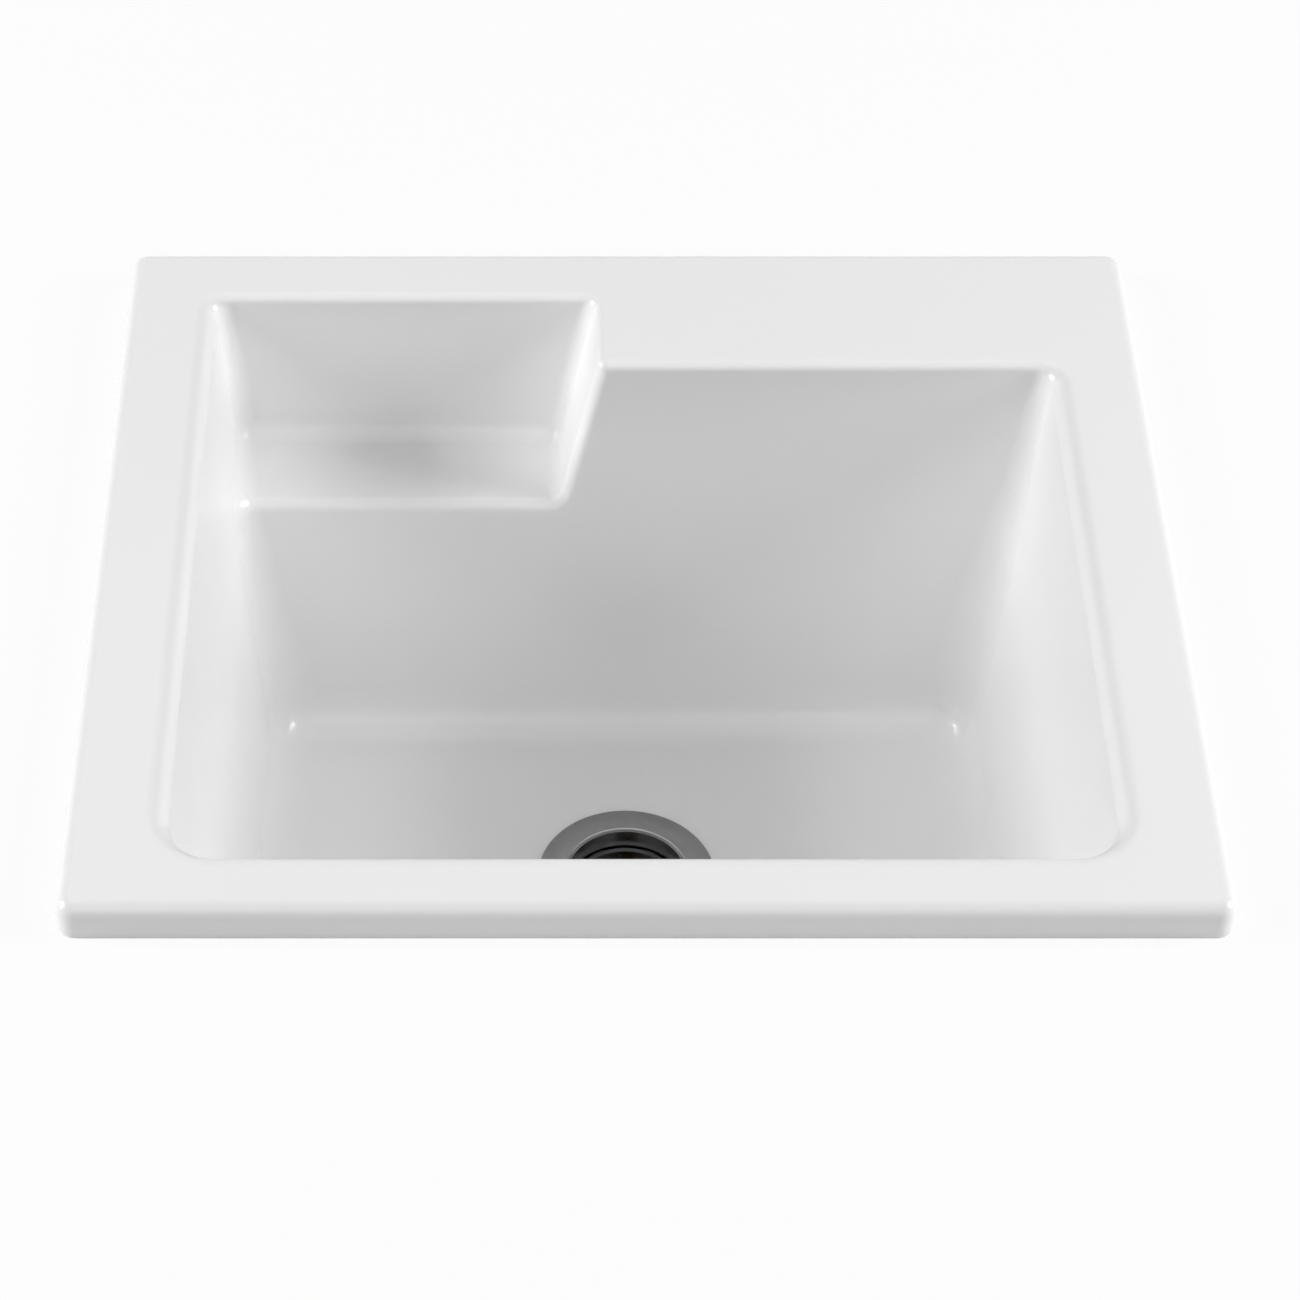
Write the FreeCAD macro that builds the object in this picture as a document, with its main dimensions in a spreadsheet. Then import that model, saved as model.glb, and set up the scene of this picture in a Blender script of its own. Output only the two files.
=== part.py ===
"""Drop-in laundry sink with a moulded soap shelf and a basket strainer drain.

Frame: millimetres, +Z up, +X to the right and +Y to the back as seen from the front.
The origin is the centre of the rim's underside, which rests on the worktop.
"""
import FreeCAD
import Part
import Sketcher
import math
import os
import re

from FreeCAD import Placement, Rotation, Vector

SIZES = {
    # rim and deck
    "rim_width": 635.0,
    "rim_depth": 559.0,
    "rim_height": 22.0,
    "rim_corner_radius": 11.0,
    "rim_edge_radius": 9.0,
    "acrylic_wall": 4.0,
    "backing_wall": 4.0,
    # bowl, measured where its walls would meet the deck without the rounded lip
    "bowl_width": 524.0,
    "bowl_depth": 290.0,
    "front_ledge": 43.5,
    "deck_depth": 112.5,
    "side_draft": 5.7,
    "end_draft": 5.0,
    "front_corner_radius": 28.0,
    "back_corner_radius": 12.0,
    "floor_corner_radius": 34.0,
    "floor_radius": 30.0,
    "lip_radius": 13.0,
    "back_lip_radius": 6.0,
    # soap shelf let into the deck behind the left half of the bowl
    "shelf_width": 242.0,
    "shelf_ledge": 46.5,
    "shelf_depth": 108.5,
    "shelf_fall": 2.0,
    "cheek_draft": 12.0,
    "shelf_corner_radius": 10.0,
    "shelf_front_radius": 18.0,
    "shelf_floor_radius": 14.0,
    "shelf_nose_radius": 8.0,
    "nose_fill_radius": 3.0,
    # dished seat for the drain
    "dish_radius": 88.0,
    "dish_slope_width": 24.0,
    "dish_depth": 1.2,
    "drain_hole_radius": 46.0,
    # strainer body, heights and depths from the dished seat
    "flange_radius": 57.15,
    "flange_rise": 3.0,
    "flange_edge": 1.0,
    "flange_gap": 0.4,
    "flange_slope": 8.0,
    "flange_turn": 2.0,
    "seal_thickness": 1.5,
    "well_radius": 38.5,
    "well_wall": 2.7,
    "well_lip": 1.5,
    "well_depth": 32.0,
    "seat_radius": 24.0,
    "seat_drop": 10.0,
    "socket_radius": 21.5,
    "socket_depth": 10.0,
    "outlet_radius": 19.5,
    "outlet_wall": 4.3,
    "outlet_length": 22.0,
    "shoulder_wall": 3.0,
    # spider in the outlet
    "spider_height": 4.0,
    "spider_ring": 2.4,
    "spider_arm": 4.0,
    "spider_hub_radius": 8.0,
    # stack under the floor
    "gasket_radius": 57.0,
    "gasket_thickness": 4.0,
    "friction_radius": 56.0,
    "friction_thickness": 1.2,
    "locknut_height": 11.0,
    "locknut_wall": 7.0,
    "locknut_flange": 3.0,
    "locknut_flange_radius": 55.0,
    "locknut_lug_width": 10.0,
    "locknut_lug_reach": 5.0,
    "locknut_lug_count": 6,
    "lug_root": 1.0,
    # tailpiece joint
    "washer_thickness": 2.0,
    "tailpiece_radius": 19.05,
    "tailpiece_wall": 1.2,
    "tailpiece_flange": 1.6,
    "tailpiece_length": 101.6,
    "coupling_wall": 4.2,
    "coupling_grip": 15.0,
    "coupling_lip": 3.4,
    "coupling_lug_width": 8.0,
    "coupling_lug_reach": 3.0,
    "coupling_lug_count": 8,
    # basket
    "basket_radius": 37.2,
    "basket_rim_depth": 13.0,
    "basket_rim_width": 3.0,
    "basket_rim_height": 2.0,
    "basket_floor_depth": 31.0,
    "basket_floor_radius": 28.0,
    "basket_sheet": 0.9,
    "basket_bend": 4.0,
    "basket_hole_radius": 2.2,
    "basket_inner_ring": 13.0,
    "basket_inner_count": 8,
    "basket_outer_ring": 22.0,
    "basket_outer_count": 14,
    "basket_slot_count": 9,
    "basket_slot_height": 8.0,
    "basket_slot_width": 4.4,
    # stem, knob and stopper
    "stem_radius": 3.2,
    "stem_tip_depth": 58.0,
    "stem_collar_radius": 6.0,
    "stem_collar_height": 2.5,
    "stem_thread_radius": 2.5,
    "stem_thread_length": 4.5,
    "knob_radius": 10.0,
    "knob_height": 8.0,
    "knob_neck_radius": 5.0,
    "knob_neck_height": 2.7,
    "knob_flare_height": 1.3,
    "knob_edge_radius": 2.0,
    "knob_depth": 2.0,
    "stopper_thickness": 8.0,
    "stopper_edge": 3.0,
    "plate_radius": 12.0,
    "plate_thickness": 1.2,
    "nut_corner_radius": 5.8,
    "nut_height": 5.0,
    "catch_depth": 50.0,
    "catch_height": 1.8,
    "catch_bite": 0.8,
    # fits
    "thread_fit": 0.2,
    "ring_fit": 0.3,
    "coupling_bore_fit": 1.0,
    "stem_fit": 0.1,
    "spider_fit": 0.1,
    "guide_fit": 0.3,
    "seat_fit": 0.45,
}

TOLERANCE = 0.01
SMALLEST_RADIUS = 0.5
# how far an edge may turn from a direction and still count as running along it
ALONG = math.cos(math.radians(25.0))

# levels and places that several pieces share, in terms of the sizes above
BOWL_BACK = "(rim_depth / 2 - deck_depth)"
BOWL_FRONT = "(front_ledge - rim_depth / 2)"
SHELF_BACK = "(rim_depth / 2 - shelf_ledge)"
DRAIN_LEVEL = "(rim_height - bowl_depth - dish_depth)"
BOTH_WALLS = "(acrylic_wall + backing_wall)"
WELL_OUTER = "(well_radius + well_wall)"
SEAT_DEPTH = "(well_depth + seat_drop)"
SOCKET_FLOOR = "(well_depth + seat_drop + socket_depth)"
OUTLET_OUTER = "(outlet_radius + outlet_wall)"
OUTLET_END = "(well_depth + seat_drop + socket_depth + outlet_length)"
TAILPIECE_TOP = f"({OUTLET_END} + washer_thickness)"
LOCKNUT_TOP = f"({BOTH_WALLS} + gasket_thickness + friction_thickness)"
BASKET_UNDERSIDE = "(basket_floor_depth + basket_sheet)"
STOPPER_UNDERSIDE = f"({BASKET_UNDERSIDE} + stopper_thickness)"
NUT_TOP = f"({STOPPER_UNDERSIDE} + plate_thickness)"
STEM_HOLE = "(stem_radius + stem_fit)"
KNOB_BASE = "(knob_depth + knob_height)"

doc = FreeCAD.newDocument("laundry_sink")
sheet = doc.addObject("Spreadsheet::Sheet", "Sizes")
for row, (alias, number) in enumerate(SIZES.items(), start=1):
    sheet.set(f"A{row}", alias)
    sheet.set(f"B{row}", str(number))
    sheet.setAlias(f"B{row}", alias)
doc.recompute()

nodes = []


def on_sheet(text):
    """Turns a formula in size names into one that reads the sheet's cells."""
    def cell(word):
        """The sheet's cell for a size name, or the word itself."""
        return f"Sizes.{word[0]}" if word[0] in SIZES else word[0]

    return re.sub(r"[a-z][a-z_]*", cell, text)


def value(text):
    """Number that a formula in size names comes to."""
    return float(sheet.evalExpression(on_sheet(text)))


def bind(item, **formulas):
    """Binds properties to formulas in size names; a dot in a property is written as two underscores."""
    for name, text in formulas.items():
        item.setExpression(name.replace("__", "."), on_sheet(text))
    return item


def made(kind, name, **formulas):
    """New document object with its sizes bound."""
    return bind(doc.addObject(kind, name), **formulas)


def fused(name, *items):
    """Union of objects, with faces in one plane merged."""
    union = doc.addObject("Part::MultiFuse", name)
    union.Shapes = list(items)
    union.Refine = True
    doc.recompute()
    return union


def shared(name, *items):
    """Space that all the objects have in common."""
    common = doc.addObject("Part::MultiCommon", name)
    common.Shapes = list(items)
    doc.recompute()
    return common


def cut(name, base, tool):
    """Base with the tool's space taken away."""
    rest = doc.addObject("Part::Cut", name)
    rest.Base = base
    rest.Tool = tool
    rest.Refine = True
    doc.recompute()
    return rest


def cylinder(name, radius, height, level):
    """Upright cylinder on the drain's axis that stands on a level."""
    return made("Part::Cylinder", name, Radius=radius, Height=height, Placement__Base__z=level)


def node(item, label):
    """Keeps an object as one sub-part of the sink."""
    item.Label = label
    nodes.append(item)
    return item


def middle(edge):
    """Point halfway along an edge."""
    return edge.valueAt((edge.FirstParameter + edge.LastParameter) / 2)


def upright_edge(edge):
    """True for an edge that runs straight up."""
    return abs(edge.tangentAt(edge.FirstParameter).z) > ALONG


def level_edge(edge, height):
    """True for an edge that lies at one height."""
    return all(abs(vertex.Z - height) < TOLERANCE for vertex in edge.Vertexes)


def rounded(name, base, test, radius):
    """Rounds the edges that pass a test.

    The radius is a number, or a function from a point on the edge to a number.
    """
    radius_at = radius if callable(radius) else lambda point: radius
    edges = []
    for index, edge in enumerate(base.Shape.Edges, start=1):
        if test(edge):
            first = radius_at(edge.valueAt(edge.FirstParameter))
            last = radius_at(edge.valueAt(edge.LastParameter))
            edges.append((index, first, last))
    # edges with one radius come last, so that it holds up to their ends
    edges.sort(key=lambda entry: entry[1] == entry[2])
    rounding = doc.addObject("Part::Fillet", name)
    rounding.Base = base
    rounding.Edges = edges
    doc.recompute()
    return rounding


def drafted_block(name, skin, left, right, front, back, right_draft="side_draft", front_draft="end_draft"):
    """Block hung from the deck's top, with walls that lean in and stand a skin's thickness further out."""
    depth = f"(bowl_depth + {skin})"
    side_shift = f"{skin} / cos(side_draft)"
    right_shift = f"{skin} / cos({right_draft})"
    end_shift = f"{skin} / cos(end_draft)"
    block = made(
        "Part::Wedge", name,
        Xmin=f"{left} - {side_shift}",
        Xmax=f"{right} + {right_shift}",
        Zmin=f"{front} - {end_shift}",
        Zmax=f"{back} + {end_shift}",
        X2min=f"{left} - {side_shift} + {depth} * tan(side_draft)",
        X2max=f"{right} + {right_shift} - {depth} * tan({right_draft})",
        Z2min=f"{front} - {end_shift} + {depth} * tan({front_draft})",
        Z2max=f"{back} + {end_shift} - {depth} * tan(end_draft)",
        Ymin="0",
        Ymax=depth,
    )
    block.Placement = Placement(Vector(0, 0, 0), Rotation(Vector(1, 0, 0), -90))
    return bind(block, Placement__Base__z="rim_height")


def bowl_form(name, skin):
    """Solid the shape of the bowl and the soap shelf, a skin's thickness larger all round."""
    left = "-bowl_width / 2"
    right = "bowl_width / 2"
    shelf_right = "(shelf_width - bowl_width / 2)"
    shelf_front = f"({BOWL_BACK} / 2)"
    bowl = drafted_block(f"{name}_bowl", skin, left, right, BOWL_FRONT, BOWL_BACK)
    sides = drafted_block(
        f"{name}_shelf_sides", skin, left, shelf_right, shelf_front, SHELF_BACK, "cheek_draft", "0")
    above_floor = made(
        "Part::Box", f"{name}_shelf_height",
        Length="rim_width",
        Width="rim_depth",
        Height="bowl_depth",
    )
    above_floor.Placement = Placement(Vector(0, 0, 0), Rotation(Vector(1, 0, 0), value("shelf_fall")))
    drop = f"{skin} / cos(shelf_fall) + {BOWL_BACK} * tan(shelf_fall)"
    bind(
        above_floor,
        Placement__Base__x="-rim_width / 2",
        Placement__Base__z=f"rim_height - shelf_depth - ({drop})",
    )
    doc.recompute()
    shelf = shared(f"{name}_shelf", sides, above_floor)
    sharp = fused(f"{name}_sharp", bowl, shelf)

    thick = value(skin)
    deck = value("rim_height")
    bottom = deck - value("bowl_depth") - thick

    def on_wall(across, height, place, outward, draft):
        """True for a distance that reaches a drafted wall at a height; the wall meets the deck at a place."""
        angle = math.radians(value(draft))
        reach = thick / math.cos(angle) - math.tan(angle) * (deck - height)
        return abs(across - value(place) - outward * reach) < TOLERANCE

    def on_left(point):
        """True for a point on the left wall."""
        return on_wall(point.x, point.z, left, -1, "side_draft")

    def on_right(point):
        """True for a point on the right wall."""
        return on_wall(point.x, point.z, right, 1, "side_draft")

    def on_cheek(point):
        """True for a point on the shelf's right wall."""
        return on_wall(point.x, point.z, shelf_right, 1, "cheek_draft")

    def on_bowl_back(point):
        """True for a point on the bowl's back wall."""
        return on_wall(point.y, point.z, BOWL_BACK, 1, "end_draft")

    def free(edge):
        """True for an edge that is neither at the deck nor at the floor."""
        return not level_edge(edge, deck) and not level_edge(edge, bottom)

    def shelf_heel(edge):
        """Edge between the shelf's floor and its back wall."""
        along_x = abs(edge.tangentAt(edge.FirstParameter).x) > ALONG
        return free(edge) and along_x and middle(edge).y > value(BOWL_BACK)

    def shelf_right_corner(edge):
        """Edges of the shelf's right wall, apart from the one on the bowl's back wall."""
        point = middle(edge)
        return free(edge) and on_cheek(point) and not on_bowl_back(point)

    def shelf_nose(edge):
        """Edges where the shelf opens through the bowl's back wall."""
        point = middle(edge)
        return free(edge) and on_bowl_back(point) and not on_left(point) and not on_right(point)

    def upright_corner(edge):
        """Corners of the bowl, and the run of edges up the left wall at the back."""
        point = middle(edge)
        left_run = on_left(point) and point.y > 0
        return free(edge) and (left_run or edge.Length > value("(shelf_depth + bowl_depth) / 2"))

    def upright_radius(point):
        """Corner radius that grows from the rim, and along the shelf to its front, down to the floor."""
        start = deck
        if point.y < 0:
            top_radius = value("front_corner_radius")
        elif point.x > 0:
            top_radius = value("back_corner_radius")
        else:
            start = value("rim_height - shelf_depth - shelf_nose_radius")
            inward = (value(SHELF_BACK) - point.y) / value(f"{SHELF_BACK} - {BOWL_BACK}")
            growth = value("shelf_front_radius - shelf_corner_radius")
            top_radius = value("shelf_corner_radius") + min(1.0, max(0.0, inward)) * growth
        share = min(1.0, max(0.0, (start - point.z) / (start - bottom)))
        return thick + top_radius + share * (value("floor_corner_radius") - top_radius)

    def floor_edge(edge):
        """Edges round the bowl's floor."""
        return level_edge(edge, bottom)

    nose_radius = max(value("shelf_nose_radius") - thick, value("nose_fill_radius"))
    heeled = rounded(f"{name}_heel", sharp, shelf_heel, value("shelf_floor_radius") + thick)
    cornered = rounded(f"{name}_corner", heeled, shelf_right_corner, value("shelf_corner_radius") + thick)
    nosed = rounded(f"{name}_nose", cornered, shelf_nose, nose_radius)
    upright = rounded(f"{name}_upright", nosed, upright_corner, upright_radius)
    floored = rounded(f"{name}_floor", upright, floor_edge, value("floor_radius") + thick)
    dish = made(
        "Part::Cone", f"{name}_dish",
        Radius1="dish_radius - dish_slope_width",
        Radius2="dish_radius",
        Height="dish_depth",
        Placement__Base__z=f"{DRAIN_LEVEL} - {skin}",
    )
    doc.recompute()
    return fused(f"{name}_form", floored, dish)


def rim_block(name, inset):
    """Block the shape of the rim, moved in from all its outer faces."""
    block = made(
        "Part::Box", f"{name}_box",
        Length=f"rim_width - 2 * {inset}",
        Width=f"rim_depth - 2 * {inset}",
        Height=f"rim_height - {inset}",
        Placement__Base__x=f"{inset} - rim_width / 2",
        Placement__Base__y=f"{inset} - rim_depth / 2",
    )
    doc.recompute()
    top = value(f"rim_height - {inset}")
    corner_radius = max(value(f"rim_corner_radius - {inset}"), 2 * SMALLEST_RADIUS)
    edge_radius = max(value(f"rim_edge_radius - {inset}"), SMALLEST_RADIUS)
    cornered = rounded(f"{name}_corners", block, upright_edge, corner_radius)
    return rounded(f"{name}_block", cornered, lambda edge: level_edge(edge, top), edge_radius)


def lip_radius_at(point):
    """Radius of the lip at a point of the bowl's outline, tighter along the back and the shelf's cheek."""
    off_left = point.x > value("-bowl_width / 2") + TOLERANCE
    at_back = off_left and point.y > value(BOWL_BACK) - TOLERANCE
    return value("back_lip_radius" if at_back else "lip_radius")


def around_bowl(edge, height, skin):
    """True for an edge of the bowl's outline at a height."""
    point = middle(edge)
    reach = skin + value("lip_radius")
    across = abs(point.x) < value("bowl_width / 2") + reach
    along = value(BOWL_FRONT) - reach < point.y < value(SHELF_BACK) + reach
    return level_edge(edge, height) and across and along


def rim_hollow(name, inset, form):
    """Space under the rim, between its turned-down edge and the bowl, with the bend of the lip."""
    inner = rim_block(f"{name}_inner", inset)
    ring = cut(f"{name}_ring", inner, form)
    top = value(f"rim_height - {inset}")

    def bend(point):
        """Radius of the bend behind the lip."""
        return max(lip_radius_at(point) - value(inset), SMALLEST_RADIUS)

    return rounded(name, ring, lambda edge: around_bowl(edge, top, value(inset)), bend)


def make_shell():
    """Acrylic skin of rim, deck, bowl and shelf, and the glass-fibre layer behind it."""
    deck = value("rim_height")
    inside = bowl_form("inside", "0")
    outside = bowl_form("outside", "acrylic_wall")
    back_side = bowl_form("back_side", BOTH_WALLS)
    below_floor = f"{DRAIN_LEVEL} - 2 * {BOTH_WALLS}"
    drain_hole = cylinder("drain_hole", "drain_hole_radius", f"4 * {BOTH_WALLS}", below_floor)

    body = fused("skin_outside", rim_block("rim", "0"), outside)
    filled = cut("skin_filled", body, rim_hollow("skin_hollow", "acrylic_wall", outside))
    opened = cut("skin_open", filled, inside)
    lipped = rounded("skin_lip", opened, lambda edge: around_bowl(edge, deck, 0), lip_radius_at)
    node(cut("skin", lipped, drain_hole), "sink_shell")

    layer = fused("layer_outside", rim_block("layer", "acrylic_wall"), back_side)
    hollowed = cut("layer_hollowed", layer, rim_hollow("layer_hollow", BOTH_WALLS, back_side))
    bare = cut("layer_bare", hollowed, filled)
    node(cut("layer_drilled", bare, drain_hole), "fibreglass_backing")


def origin_plane(body, role):
    """One of a body's own origin planes."""
    return next(plane for plane in body.Origin.OriginFeatures if plane.Role == role)


def sketch_on(body, name, role):
    """Empty sketch on one of a body's origin planes."""
    sketch = body.newObject("Sketcher::SketchObject", name)
    sketch.AttachmentSupport = (origin_plane(body, role), [""])
    sketch.MapMode = "FlatFace"
    return sketch


def pin_point(sketch, line, place):
    """Holds a line's start at a place given by two formulas."""
    for kind, text in zip(("DistanceX", "DistanceY"), place):
        if value(text) == 0.0:
            axis = -2 if kind == "DistanceX" else -1
            sketch.addConstraint(Sketcher.Constraint("PointOnObject", line, 1, axis))
        else:
            index = sketch.addConstraint(Sketcher.Constraint(kind, -1, 1, line, 1, value(text)))
            sketch.setExpression(f"Constraints[{index}]", on_sheet(text))


def draw(sketch, places):
    """Closed outline with straight sides through places given by formulas."""
    corners = [Vector(value(across), value(up), 0) for across, up in places]
    lines = []
    for start, end in zip(corners, corners[1:] + corners[:1]):
        lines.append(sketch.addGeometry(Part.LineSegment(start, end), False))
    for line, following in zip(lines, lines[1:] + lines[:1]):
        sketch.addConstraint(Sketcher.Constraint("Coincident", line, 2, following, 1))
    for line, place in zip(lines, places):
        pin_point(sketch, line, place)


def turned(label, places):
    """Piece of the drain, turned from places given as radius and height over the drain seat."""
    body = doc.addObject("PartDesign::Body", f"{label}_body")
    sketch = sketch_on(body, f"{label}_outline", "XZ_Plane")
    draw(sketch, places)
    turn = body.newObject("PartDesign::Revolution", f"{label}_turn")
    turn.Profile = sketch
    turn.ReferenceAxis = (sketch, ["V_Axis"])
    turn.Angle = 360.0
    bind(body, Placement__Base__z=DRAIN_LEVEL)
    doc.recompute()
    return node(body, label)


def soften(body, radius, *places):
    """Rounds the circular edges of a turned piece at the places given."""
    tip = body.Tip
    names = []
    for index, edge in enumerate(tip.Shape.Edges, start=1):
        if not isinstance(edge.Curve, Part.Circle):
            continue
        for across, up in places:
            same_radius = abs(edge.Curve.Radius - value(across)) < TOLERANCE
            if same_radius and abs(edge.Curve.Center.z - value(up)) < TOLERANCE:
                names.append(f"Edge{index}")
    rounding = body.newObject("PartDesign::Fillet", f"{body.Label}_round")
    rounding.Base = (tip, names)
    bind(rounding, Radius=radius)
    doc.recompute()
    return rounding


def repeat(body, name, feature, count):
    """Repeats a feature evenly round a body's upright axis."""
    pattern = body.newObject("PartDesign::PolarPattern", name)
    pattern.Originals = [feature]
    pattern.Axis = (origin_plane(body, "Z_Axis"), [""])
    pattern.Angle = 360.0
    bind(pattern, Occurrences=count)
    body.Tip = pattern
    doc.recompute()
    return pattern


def cut_round(body, name, role, count, draw_cut):
    """Cuts a shape drawn on an origin plane right through a body, at even steps round its axis."""
    sketch = sketch_on(body, f"{name}_shape", role)
    draw_cut(sketch)
    pocket = body.newObject("PartDesign::Pocket", f"{name}_cut")
    pocket.Profile = sketch
    pocket.Type = "ThroughAll"
    pocket.Midplane = True
    doc.recompute()
    return repeat(body, f"{name}_ring", pocket, count)


def lugs_round(body, name, count, width, inner, outer, top, height):
    """Adds square lugs round a nut, from an inner to an outer radius, hanging from a level."""
    sketch = sketch_on(body, f"{name}_shape", "XY_Plane")
    draw(sketch, [
        (inner, f"-{width} / 2"),
        (outer, f"-{width} / 2"),
        (outer, f"{width} / 2"),
        (inner, f"{width} / 2"),
    ])
    bind(sketch, AttachmentOffset__Base__z=f"-{top}")
    lug = body.newObject("PartDesign::Pad", f"{name}_lug")
    lug.Profile = sketch
    lug.Reversed = True
    bind(lug, Length=height)
    doc.recompute()
    return repeat(body, f"{name}_ring", lug, count)


def make_strainer():
    """Strainer body with its flange, well, stopper seat and outlet, and the spider in the outlet."""
    crest = "flange_radius - flange_slope"
    lip_top = "well_radius + well_lip"
    body = turned("strainer_body", [
        ("flange_radius", "flange_gap"),
        ("flange_radius", "flange_gap + flange_edge"),
        (crest, "flange_rise"),
        (lip_top, "flange_rise"),
        ("well_radius", "flange_rise - well_lip"),
        ("well_radius", "-well_depth"),
        ("seat_radius", f"-{SEAT_DEPTH}"),
        ("socket_radius", f"-{SEAT_DEPTH}"),
        ("socket_radius", f"-{SOCKET_FLOOR}"),
        ("outlet_radius", f"-{SOCKET_FLOOR}"),
        ("outlet_radius", f"-{OUTLET_END}"),
        (OUTLET_OUTER, f"-{OUTLET_END}"),
        (OUTLET_OUTER, f"-{SEAT_DEPTH} - shoulder_wall"),
        ("seat_radius + shoulder_wall", f"-{SEAT_DEPTH} - shoulder_wall"),
        (WELL_OUTER, "-well_depth - shoulder_wall"),
        (WELL_OUTER, "seal_thickness"),
        ("flange_radius - flange_turn", "seal_thickness"),
        ("flange_radius - flange_edge", "flange_gap"),
    ])
    soften(body, "well_lip", (lip_top, "flange_rise"))
    soften(body, "flange_slope", (crest, "flange_rise"))
    soften(body, "well_wall", ("well_radius", "-well_depth"), (WELL_OUTER, "-well_depth - shoulder_wall"))

    ring_radius = "socket_radius - spider_fit"
    level = f"{DRAIN_LEVEL} - {SOCKET_FLOOR}"
    disc = cylinder("spider_disc", ring_radius, "spider_height", level)
    window = cylinder("spider_window", f"{ring_radius} - spider_ring", "spider_height", level)
    hub = cylinder("spider_hub", "spider_hub_radius", "spider_height", level)
    eye = cylinder("spider_eye", "stem_radius + catch_bite + guide_fit", "spider_height", level)
    beams = []
    for axis, (length, width) in {"x": (f"2 * ({ring_radius})", "spider_arm"),
                                  "y": ("spider_arm", f"2 * ({ring_radius})")}.items():
        beams.append(made(
            "Part::Box", f"spider_beam_{axis}",
            Length=length,
            Width=width,
            Height="spider_height",
            Placement__Base__x=f"-({length}) / 2",
            Placement__Base__y=f"-({width}) / 2",
            Placement__Base__z=level,
        ))
    doc.recompute()
    ring = cut("spider_ring_band", disc, window)
    cross = shared("spider_cross", fused("spider_beams", hub, *beams), disc)
    node(cut("spider", fused("spider_whole", ring, cross), eye), "strainer_spider")


def ring(label, inner, outer, top, thickness):
    """Flat ring whose upper face is at a height over the drain seat."""
    return turned(label, [
        (inner, f"{top} - {thickness}"),
        (outer, f"{top} - {thickness}"),
        (outer, top),
        (inner, top),
    ])


def make_clamp():
    """Seals above and below the floor, and the lugged nut that clamps them."""
    clear = f"{WELL_OUTER} + ring_fit"
    gasket_under = f"-{BOTH_WALLS} - gasket_thickness"
    ring("flange_seal", clear, "flange_radius - flange_turn - ring_fit", "seal_thickness", "seal_thickness")
    ring("under_gasket", clear, "gasket_radius", f"-{BOTH_WALLS}", "gasket_thickness")
    ring("friction_ring", clear, "friction_radius", gasket_under, "friction_thickness")

    bore = f"{WELL_OUTER} + thread_fit"
    outer = f"({WELL_OUTER} + locknut_wall)"
    bottom = f"-{LOCKNUT_TOP} - locknut_height"
    shelf = f"-{LOCKNUT_TOP} - locknut_flange"
    nut = turned("locknut", [
        (bore, bottom),
        (outer, bottom),
        (outer, shelf),
        ("locknut_flange_radius", shelf),
        ("locknut_flange_radius", f"-{LOCKNUT_TOP}"),
        (bore, f"-{LOCKNUT_TOP}"),
    ])
    lugs_round(nut, "locknut_lugs", "locknut_lug_count", "locknut_lug_width", f"{outer} - lug_root",
               f"{outer} + locknut_lug_reach", LOCKNUT_TOP, "locknut_height")


def make_tailpiece():
    """Flanged waste tube, its washer and the slip nut that draws it up to the outlet."""
    flange_radius = f"({OUTLET_OUTER} - ring_fit)"
    tube_inner = "tailpiece_radius - tailpiece_wall"
    flange_under = f"({TAILPIECE_TOP} + tailpiece_flange)"
    ring("tailpiece_washer", "outlet_radius", flange_radius, f"-{OUTLET_END}", "washer_thickness")
    tube = turned("tailpiece", [
        (tube_inner, f"-{TAILPIECE_TOP}"),
        (flange_radius, f"-{TAILPIECE_TOP}"),
        (flange_radius, f"-{flange_under}"),
        ("tailpiece_radius", f"-{flange_under}"),
        ("tailpiece_radius", f"-{TAILPIECE_TOP} - tailpiece_length"),
        (tube_inner, f"-{TAILPIECE_TOP} - tailpiece_length"),
    ])
    soften(tube, "tailpiece_wall", (tube_inner, f"-{TAILPIECE_TOP}"))

    bore = f"({OUTLET_OUTER} + thread_fit)"
    lip_bore = "tailpiece_radius + coupling_bore_fit"
    outer = f"({bore} + coupling_wall)"
    top = f"({OUTLET_END} - coupling_grip)"
    height = f"({flange_under} + coupling_lip - {top})"
    nut = turned("coupling_nut", [
        (lip_bore, f"-{flange_under} - coupling_lip"),
        (outer, f"-{flange_under} - coupling_lip"),
        (outer, f"-{top}"),
        (bore, f"-{top}"),
        (bore, f"-{flange_under}"),
        (lip_bore, f"-{flange_under}"),
    ])
    lugs_round(nut, "coupling_lugs", "coupling_lug_count", "coupling_lug_width", f"{outer} - lug_root",
               f"{outer} + coupling_lug_reach", top, height)


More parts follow.
